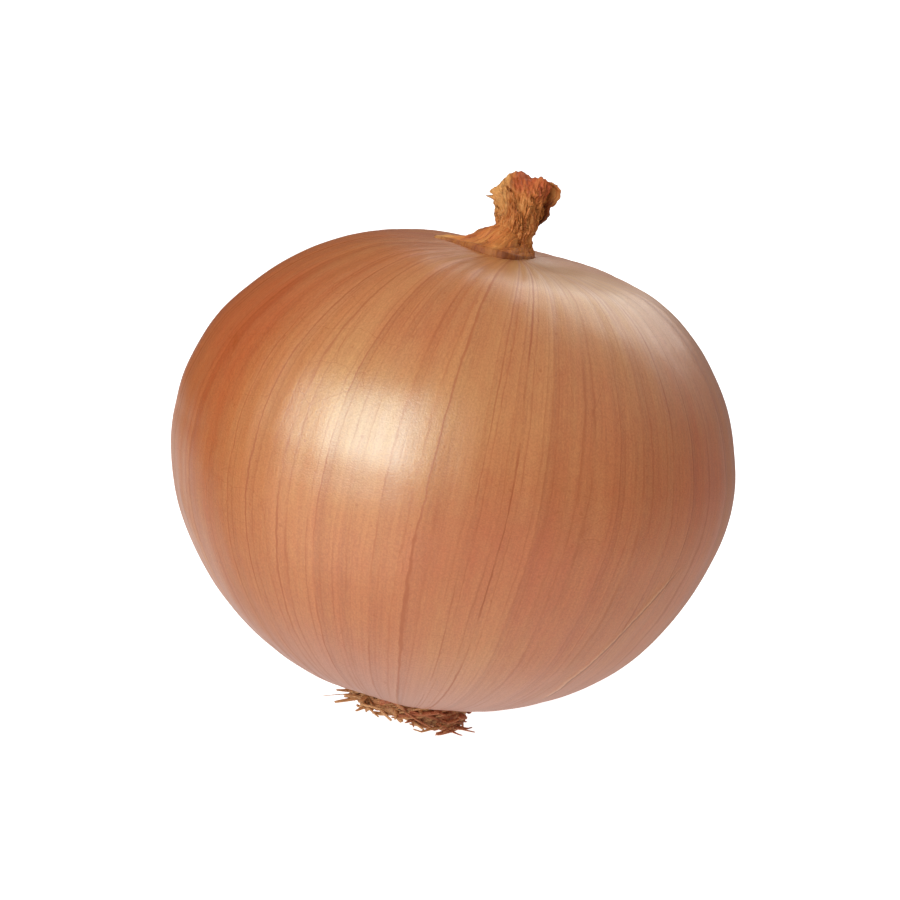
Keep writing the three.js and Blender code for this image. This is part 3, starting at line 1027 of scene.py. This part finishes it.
def neck_red(places):
    """Golden at the neck's left, reddish at its crumpled top."""
    x = places[:, 0] - NECK_SHIFT
    height = places[:, 2] - NECK_BASE
    top = smooth_between(height, 6.5, 10.2) * smooth_between(x, -3.6, -1.9)
    return 0.46 + 0.55 * top - 0.46 * smooth_between(-x, 1.4, 3.4) * smooth_between(height, 3.5, 6)


# Torn outer layers of the neck, each as turn, half width, share where it ends, and how far it stands off
LAYERS = (
    (-2.25, 0.62, 0.86, 0.16),
    (-0.85, 0.45, 0.93, 0.2),
    (-1.5, 0.3, 0.6, 0.24),
    (0.6, 0.7, 0.88, 0.2),
    (2.2, 0.8, 0.9, 0.2),
)


class ONION_OT_neck(bpy.types.Operator):
    """Make the withered neck: a flattened, pinched stalk with torn outer layers"""

    bl_idname = "onion.neck"
    bl_label = "Withered neck"
    bl_options = {"REGISTER", "UNDO"}

    def execute(self, context):
        leaves = [self.stalk(), leaf_sheet(40, 90, self.side_leaf, SIDE_LEAF_THICKNESS, seed=2)]
        for key, layer in enumerate(LAYERS):
            leaves.append(leaf_sheet(46, 110, self.outer(key, *layer), LAYER_THICKNESS, seed=3 + key))
        neck = join_pieces(leaves, "neck_sheaths")
        finish_piece(neck, dry_leaf_surface(context.scene.onion), "dry_neck", "neck")
        return {"FINISHED"}

    def stalk(self):
        """The stalk from a sheet rolled round, with its back seam, top and foot closed."""
        stalk = leaf_sheet(240, 120, self.rolled, thickness=0, seed=1)
        take(stalk)
        bpy.ops.object.mode_set(mode="EDIT")
        bpy.ops.mesh.select_all(action="SELECT")
        bpy.ops.mesh.remove_doubles(threshold=0.002 * MM)
        bpy.ops.mesh.select_all(action="DESELECT")
        bpy.ops.mesh.select_non_manifold(extend=False)
        bpy.ops.mesh.edge_face_add()
        bpy.ops.mesh.select_all(action="SELECT")
        bpy.ops.mesh.normals_make_consistent(inside=False)
        bpy.ops.object.mode_set(mode="OBJECT")
        return stalk

    def rolled(self, across, along):
        turn = -math.pi / 2 + math.pi * across
        places, crease = neck_place(turn, along, 0)
        # The third value is painted shade, darker in the creases
        return places, neck_red(places), np.clip(0.5 - 0.55 * crease, 0, 1)

    def side_leaf(self, across, along):
        """The folded leaf that stands off behind the neck's right side."""
        height = 3.5 + 6.7 * along
        edge = np.interp(height, *SIDE_LEAF.T) + 0.12 * rough(spots(0, 0, height * 3), 1.0, 71)
        share = (across + 1) / 2
        crease = ridges(spots(share * 2, 0, height * 0.3), 1.3, 72)
        x = 0.4 + (edge - 0.4) * share
        y = 1.7 - 1.5 * share**2 + 0.16 * crease
        places = spots(NECK_SHIFT + x, y, NECK_BASE + height + 0.2 * crease * share)
        red = 1.0 - 0.6 * smooth_between(height, 7.0, 8.6)
        # Painted shade in the creases, on the lower part (partly its darker inside) and on the side towards
        # the neck
        hollow = 0.35 - 0.35 * crease + 0.75 * (1 - smooth_between(height, 6.4, 8.0))
        hollow = hollow + 0.8 * smooth_between(0.74 - share, 0, 0.12)
        return places, red, np.clip(hollow, 0, 1)

    def outer(self, key, turn, half_width, end, off):
        """A function that lays one torn layer round the stalk."""

        def place(across, along):
            torn = rough(spots(across * 2.2, 0, 0), 1.0, 80 + key)
            jags = rough(spots(across * 7, 0, 0), 1.0, 90 + key)
            cut = 1 - 0.16 * np.abs(torn) - 0.08 * np.abs(jags) - 0.3 * np.abs(across) ** 3
            share = 0.03 + (end - 0.03) * along * cut
            side = rough(spots(along * 3, key, 0), 1.0, 85)
            where = turn + across * half_width * (1 - 0.35 * along**2 + 0.3 * side) + 0.25 * side
            lift = off + 0.5 * off * np.abs(across) ** 4 + 0.25 * smooth_between(along, 0.8, 1)
            places, crease = neck_place(where, share, lift)
            # The third value is painted shade, darker in the creases
            return places, neck_red(places), np.clip(0.45 - 0.55 * crease, 0, 1)

        return place


class ONION_OT_flap(bpy.types.Operator):
    """Make the pleated skirt of dry skin that spreads from the neck over the shoulder"""

    bl_idname = "onion.flap"
    bl_label = "Skin flap"
    bl_options = {"REGISTER", "UNDO"}

    def execute(self, context):
        flap = leaf_sheet(300, 70, self.place, FLAP_THICKNESS, seed=12)
        name_piece(flap, "skin_flap")
        finish_piece(flap, dry_leaf_surface(context.scene.onion), "dry_neck")
        return {"FINISHED"}

    def place(self, across, along):
        """The skirt's places, from the neck out to the edge that rolls down on the skin."""
        degrees = 240 + 180 * across
        turn = np.radians(degrees)
        reach, inner_height, rim_height = (np.interp(degrees, SKIRT[:, 0], column) for column in SKIRT.T[1:])
        reach = reach + 0.16 * rough(spots(turn * 6, 0, 0), 1.0, 31)
        slope = np.clip(along / FLAP_EDGE, 0, 1)
        roll = np.clip((along - FLAP_EDGE) / (1 - FLAP_EDGE), 0, 1) * math.pi / 2
        out = FLAP_START + (reach - FLAP_START) * slope**0.95 + 0.18 * np.sin(roll)
        x = NECK_SHIFT + out * np.cos(turn)
        y = out * np.sin(turn)
        skin_height = self.skin_height(x, y)
        top = NECK_BASE + inner_height
        rim = skin_height + rim_height
        step = 0.8 * np.exp(-(((slope - 0.36) / 0.13) ** 2)) * np.exp(-(((degrees - 186) / 26) ** 2))
        height = rim + (top - rim) * (1 - slope) ** 2.3 + step
        pleats = spots(turn * 2.6 + 0.7 * slope, slope * 0.8, 0)
        crease = 0.5 * ridges(pleats, 1.5, 32) + 0.5 * ridges(pleats, 3.4, 33)
        swell = smooth_between(1 - slope, 0.0, 0.12) * (0.55 + 0.45 * np.sin(slope * math.pi))
        height = height + 0.42 * crease * swell - (rim_height + 0.25) * (1 - np.cos(roll))
        x = x + 0.16 * crease * swell * np.cos(turn)
        y = y + 0.16 * crease * swell * np.sin(turn)
        places = spots(x, y, height)
        band = smooth_between(along, 0.82, 0.88)
        red = 0.52 + 0.1 * band - 0.4 * smooth_between(-x, 4.5, 8)
        # Painted shade in the pleats' creases, on the rolled band at the rim, and on the back side near the
        # neck, where the skirt lies in shadow
        hollow = (0.58 - 0.6 * crease) * (1 - band) + band * (0.76 + 0.06 * np.sin(roll))
        hollow = hollow + 0.6 * smooth_between(186 - degrees, 0, 12) * smooth_between(0.7 - slope, 0, 0.2)
        return places, red, np.clip(hollow, 0, 1)

    def skin_height(self, x, y):
        """The smooth skin's height under each place near the neck."""
        turns, shares = np.meshgrid(np.linspace(0, 2 * math.pi, 181), np.linspace(0.74, 0.999, 70))
        skin = skin_points(turns.ravel(), shares.ravel(), bpy.context.scene.onion.veins)
        tree = KDTree(len(skin))
        for key, (skin_x, skin_y, _) in enumerate(skin):
            tree.insert((skin_x, skin_y, 0), key)
        tree.balance()
        heights = []
        for across, back in zip(x, y):
            nearest = tree.find_n((across, back, 0), 4)
            heights.append(np.mean([skin[key][2] for _, key, _ in nearest]))
        return np.array(heights)


def root_template():
    """One straight root of six sides and seven steps along +Z, to be copied and bent."""
    clear_selection()
    bpy.ops.mesh.primitive_cylinder_add(vertices=6, radius=1, depth=1 / 7, location=(0, 0, 1 / 14))
    root = bpy.context.object
    bpy.ops.object.transform_apply(location=True, rotation=False, scale=False)
    bpy.ops.object.mode_set(mode="EDIT")
    bpy.ops.mesh.select_all(action="DESELECT")
    bpy.ops.object.mode_set(mode="OBJECT")
    for face in root.data.polygons:
        face.select = face.normal.z > 0.9
    bpy.ops.object.mode_set(mode="EDIT")
    for _ in range(6):
        bpy.ops.mesh.extrude_region_move(TRANSFORM_OT_translate={"value": (0, 0, 1 / 7)})
    bpy.ops.object.mode_set(mode="OBJECT")
    return root


def pressed_down(x):
    """How far the tuft is pressed down from left to right, from 0 to 1."""
    return smooth_between(x, 0.5, 6)


def bend_root(start, heading, length, width, thickness, curl, twist, pressed=False):
    """A function that puts a straight root's corners along a bent line, kept above the mat if pressed."""

    def bend(corners):
        steps = np.clip(corners[:, 2], 0, 1)[:, None]
        heading_unit = heading / np.linalg.norm(heading)
        line = start + length * (heading_unit * steps + curl * steps**2)
        way = heading_unit + 2 * curl * steps
        way = way / np.linalg.norm(way, axis=1)[:, None]
        aside = np.cross(np.array([0, 0, 1.0]), way)
        aside = aside / np.linalg.norm(aside, axis=1)[:, None]
        over = np.cross(way, aside)
        angle = twist * steps
        wide = aside * np.cos(angle) + over * np.sin(angle)
        thin = over * np.cos(angle) - aside * np.sin(angle)
        taper = 1 - 0.55 * steps**1.5
        bent = line + (wide * corners[:, :1] * width + thin * corners[:, 1:2] * thickness) / 2 * taper
        if pressed:
            lowest = MAT_LOWEST - MAT_DROP * pressed_down(bent[:, 0]) + 0.12 * corners[:, 1]
            bent[:, 2] = np.maximum(bent[:, 2], lowest)
        return bent

    return bend


# The roots that stick out furthest, as turn, start radius, start level, length, fall and width
LONG_ROOTS = (
    (-0.62, 6.8, -38.4, 4.6, -0.1, 1.0),
    (-0.5, 6.8, -38.2, 4.9, -0.02, 0.8),
    (-0.3, 6.4, -38.2, 3.6, -0.1, 0.9),
    (0.45, 6.6, -38.0, 3.8, -0.12, 0.9),
    (3.3, 7.0, -36.7, 5.2, -0.2, 0.4),
    (3.5, 6.4, -36.8, 4.6, -0.28, 1.2),
    (3.3, 6.6, -36.3, 3.9, -0.12, 1.4),
    (3.65, 6.4, -36.4, 3.2, -0.05, 1.2),
    (3.85, 6.2, -37.2, 3.2, -0.3, 1.1),
)


class ONION_OT_roots(bpy.types.Operator):
    """Make the tuft of dry roots and the matted pad under the bulb"""

    bl_idname = "onion.roots"
    bl_label = "Root tuft"
    bl_options = {"REGISTER", "UNDO"}

    def execute(self, context):
        settings = context.scene.onion
        template = root_template()
        straight = corners_of(template.data)
        draw = np.random.default_rng(7)
        pieces = [self.pad(context)]
        for key, bend in enumerate(self.bends(settings, draw)):
            mesh = template.data.copy()
            places = stand(bend(straight), settings)
            places[:, 2] = np.maximum(places[:, 2], (0.04 + 0.1 * straight[:, 1].clip(0, 1)) * MM)
            move_corners(mesh, places)
            count = len(straight)
            leftness = -places[:, 0].mean() / MM - 6
            own = np.clip(0.42 + 0.06 * leftness + 0.8 * (draw.random() - 0.5), 0, 1)
            write_attribute(mesh, "own", "FLOAT", np.full(count, own))
            # Painted shade, darkest at the root's start, where it leaves the pad
            write_attribute(mesh, "depth", "FLOAT", 0.3 * (1 - straight[:, 2]) ** 3)
            lie = spots(straight[:, 0] + 9 * key, straight[:, 1], straight[:, 2] * 8)
            write_attribute(mesh, "lie", "FLOAT_VECTOR", lie)
            piece = bpy.data.objects.new(f"root_{key}", mesh)
            context.collection.objects.link(piece)
            pieces.append(piece)
        bpy.data.objects.remove(template)
        tuft = join_pieces(pieces, "root_strands")
        finish_piece(tuft, root_surface(settings), "dry_roots", "root_tuft")
        return {"FINISHED"}

    def bends(self, settings, draw):
        """Roots wound round the pad, short ones that stick out, a mat under it, then the longest."""
        golden_angle = math.pi * (3 - math.sqrt(5))
        upwards = np.array([0, 0, 1.0])
        for key in range(settings.strands):
            turn = key * golden_angle + 0.4 * draw.random()
            right = float(smooth_between(np.array(math.cos(turn)), -0.2, 0.7))
            outwards = np.array([math.cos(turn), math.sin(turn), 0])
            along = np.array([-math.sin(turn), math.cos(turn), 0]) * (1 if draw.random() < 0.5 else -1)
            curl = (0.8 - 0.3 * right) * (draw.random(3) - 0.5)
            width = 0.55 + 0.9 * draw.random() ** 1.5
            if key % 20 < 10:
                out = (MAT_RADIUS + 1.0 * draw.random()) * (1 + 0.2 * right)
                level = -35.4 - (1.9 + 1.5 * right) * draw.random()
                heading = along + outwards * 0.4 * draw.random()
                heading = heading + upwards * (1.3 - 0.7 * right) * (draw.random() - 0.5)
                length = 2.2 + 2.6 * draw.random()
                curl = 0.7 * curl - outwards * length / (2 * out)
            elif key % 20 < 14:
                out = (6.0 + 0.8 * draw.random()) * (1 + 0.15 * right)
                level = -35.6 - (1.4 + 1.4 * right) * draw.random()
                heading = outwards + along * 1.1 * draw.random() - upwards * 0.25 * draw.random()
                length = (1.3 + 1.5 * draw.random()) * (1 - 0.4 * right)
            else:
                out = MAT_RADIUS * math.sqrt(draw.random())
                level = MAT_LEVEL - 0.25 * draw.random() - MAT_DROP * right * out / MAT_RADIUS
                heading = along + outwards * (draw.random() - 0.8) + upwards * 0.05 * draw.random()
                length = 2 + 2 * draw.random()
            start = outwards * out + upwards * level
            twist = 2.4 * draw.random() - 1.2
            yield bend_root(start, heading, length, width, width * 0.45, curl, twist, pressed=True)
        for turn, out, level, length, fall, width in LONG_ROOTS:
            start = np.array([out * math.cos(turn), out * math.sin(turn), level])
            heading = np.array([math.cos(turn), math.sin(turn), fall])
            curl = 0.3 * np.array([draw.random() - 0.5, draw.random() - 0.5, 0.3 * draw.random()])
            yield bend_root(start, heading, length, width * 0.8, width * 0.4, curl, draw.random() - 0.5)

    def pad(self, context):
        """The matted pad that the roots grow out of."""
        settings = context.scene.onion
        clear_selection()
        bpy.ops.mesh.primitive_uv_sphere_add(segments=180, ring_count=90, radius=1, location=(0, 0, 0))
        pad = context.object
        start = corners_of(pad.data)
        turn = np.arctan2(start[:, 1], start[:, 0])
        height = np.sign(start[:, 2]) * np.abs(start[:, 2]) ** 0.5
        width = np.hypot(start[:, 0], start[:, 1]) ** 0.55
        level = (PAD_TOP + PAD_BOTTOM) / 2 + height * (PAD_TOP - PAD_BOTTOM) / 2
        pressed = 1 + PAD_SPREAD * np.clip(np.cos(turn), 0, 1) ** 2
        out = (PAD_RADIUS - 0.9) * width * pressed
        x = out * np.cos(turn)
        y = out * np.sin(turn)
        low = np.clip((level - PAD_TOP) / (PAD_BOTTOM - PAD_TOP), 0, 1) ** 2
        level = level - PAD_DROP * pressed_down(x) * low
        places = spots(x, y, level)
        mat = places * np.array([1, 1, 2.2])
        crease = 0.5 * ridges(mat, 0.45, 41) + 0.5 * ridges(mat, 1.1, 42)
        places = places + start * (0.45 * crease)[:, None]
        placed = stand(places, settings)
        placed[:, 2] = np.maximum(placed[:, 2], 0.0)
        move_corners(pad.data, placed)
        write_attribute(pad.data, "own", "FLOAT", np.clip(0.3 + 0.6 * rough(places, 0.35, 43), 0, 1))
        # Painted shade, darker in the pad's creases
        write_attribute(pad.data, "depth", "FLOAT", np.clip(0.4 - 0.7 * crease, 0, 1))
        write_attribute(pad.data, "lie", "FLOAT_VECTOR", places * np.array([0.8, 0.8, 3]))
        return pad


class ONION_OT_stage(bpy.types.Operator):
    """Make the pale floor, the soft lights and the camera"""

    bl_idname = "onion.stage"
    bl_label = "Stage"
    bl_options = {"REGISTER", "UNDO"}

    def execute(self, context):
        studio = context.scene.onion_studio
        self.floor(context)
        self.surroundings(context, studio.surroundings)
        middle = Vector((context.scene.onion.sidestep, 0, context.scene.onion.widest_level))
        for name, (left, height, distance, size, power_key, shown_in) in LIGHTS.items():
            lamp = self.light(name, middle, left, height, distance, size)
            lamp.data.energy = getattr(studio, power_key)
            lamp.visible_diffuse = shown_in != "gloss"
            lamp.visible_glossy = shown_in != "colour"
        bpy.data.objects["window_sheen"].data.color = SHEEN_COLOUR
        self.camera(context, studio, middle)
        context.scene.view_settings.view_transform = "Standard"
        return {"FINISHED"}

    def floor(self, context):
        clear_selection()
        bpy.ops.mesh.primitive_plane_add(size=6, location=(0, 0, 0))
        floor = name_piece(context.object, "floor")
        bpy.ops.object.mode_set(mode="EDIT")
        bpy.ops.mesh.subdivide(number_cuts=7)
        bpy.ops.object.mode_set(mode="OBJECT")
        floor.data.materials.append(floor_surface(context.scene.onion_studio.floor_glow))
        floor.visible_diffuse = False
        floor.visible_glossy = False
        floor.visible_shadow = False

    def surroundings(self, context, strength):
        """White surroundings: brightest straight below, dim at the horizon and at the back left."""
        world = bpy.data.worlds.new("white surroundings")
        world.use_nodes = True
        wires = Wiring(world.node_tree)
        background = world.node_tree.nodes["Background"]
        background.inputs["Color"].default_value = (1, 1, 1, 1)
        way = wires.add("ShaderNodeTexCoord").outputs["Generated"]

        def along(direction, steps):
            """A curve through the steps, from straight against the direction to straight along it."""
            dot = wires.add("ShaderNodeVectorMath", operation="DOT_PRODUCT")
            wires.put(dot, 0, way)
            wires.put(dot, 1, direction)
            ramp = wires.add("ShaderNodeFloatCurve")
            curve = ramp.mapping.curves[0]
            curve.points[0].location = (0, steps[0])
            curve.points[1].location = (1, steps[-1])
            for key in range(1, len(steps) - 1):
                curve.points.new(key / (len(steps) - 1), steps[key])
            ramp.mapping.update()
            wires.put(ramp, "Value", wires.math("MULTIPLY_ADD", dot.outputs["Value"], 0.5, 0.5))
            return ramp.outputs[0]

        level = wires.times(along((0, 0, 1), BELOW_TO_ABOVE), along(DIM_SIDE, FRONT_TO_DIM))
        wires.put(background, "Strength", wires.times(level, strength * 1.3))
        context.scene.world = world

    def light(self, name, middle, left, height, distance, size):
        """A soft rectangular light at an angle left of the viewer and above level, aimed at the onion."""
        left = math.radians(left)
        height = math.radians(height)
        level = Vector((-math.sin(left), -math.cos(left), 0))
        way = level * math.cos(height) + Vector((0, 0, math.sin(height)))
        bpy.ops.object.light_add(type="AREA", location=middle + way * distance)
        lamp = bpy.context.object
        lamp.name = name
        lamp.data.shape = "RECTANGLE"
        lamp.data.size, lamp.data.size_y = size
        lamp.visible_camera = False
        lamp.rotation_euler = way.to_track_quat("Z", "Y").to_euler()
        return lamp

    def camera(self, context, studio, middle):
        height = studio.camera_height
        back = Vector((0, -math.cos(height), math.sin(height)))
        up = Vector((0, math.sin(height), math.cos(height)))
        aim = middle + Vector((-0.00055, 0, 0)) + up * 0.00038
        bpy.ops.object.camera_add(location=aim + back * studio.camera_distance)
        camera = context.object
        camera.name = "camera"
        camera.rotation_euler = back.to_track_quat("Z", "Y").to_euler()
        camera.data.sensor_width = 36
        camera.data.lens = 36 * studio.camera_distance / studio.view_width
        camera.data.clip_start = 0.01
        camera.data.clip_end = 20
        context.scene.camera = camera


class ONION_PT_sidebar(bpy.types.Panel):
    """The onion's sizes, colours and pieces"""

    bl_label = "Brown Onion"
    bl_idname = "ONION_PT_sidebar"
    bl_space_type = "VIEW_3D"
    bl_region_type = "UI"
    bl_category = "Onion"

    def draw(self, context):
        layout = self.layout
        for owner in (context.scene.onion, context.scene.onion_studio):
            box = layout.box()
            for key in owner.bl_rna.properties.keys():
                if key not in {"rna_type", "name"}:
                    box.prop(owner, key)
        for operator in OPERATORS:
            layout.operator(operator.bl_idname)


OPERATORS = (ONION_OT_skin, ONION_OT_neck, ONION_OT_flap, ONION_OT_roots, ONION_OT_stage)
CLASSES = (OnionSettings, StudioSettings, *OPERATORS, ONION_PT_sidebar)


def register():
    for each in CLASSES:
        bpy.utils.register_class(each)
    bpy.types.Scene.onion = bpy.props.PointerProperty(type=OnionSettings)
    bpy.types.Scene.onion_studio = bpy.props.PointerProperty(type=StudioSettings)


def unregister():
    del bpy.types.Scene.onion_studio
    del bpy.types.Scene.onion
    for each in reversed(CLASSES):
        bpy.utils.unregister_class(each)


def main():
    register()
    bpy.ops.onion.skin()
    bpy.ops.onion.neck()
    bpy.ops.onion.flap()
    bpy.ops.onion.roots()
    bpy.ops.onion.stage()


if __name__ == "__main__":
    main()
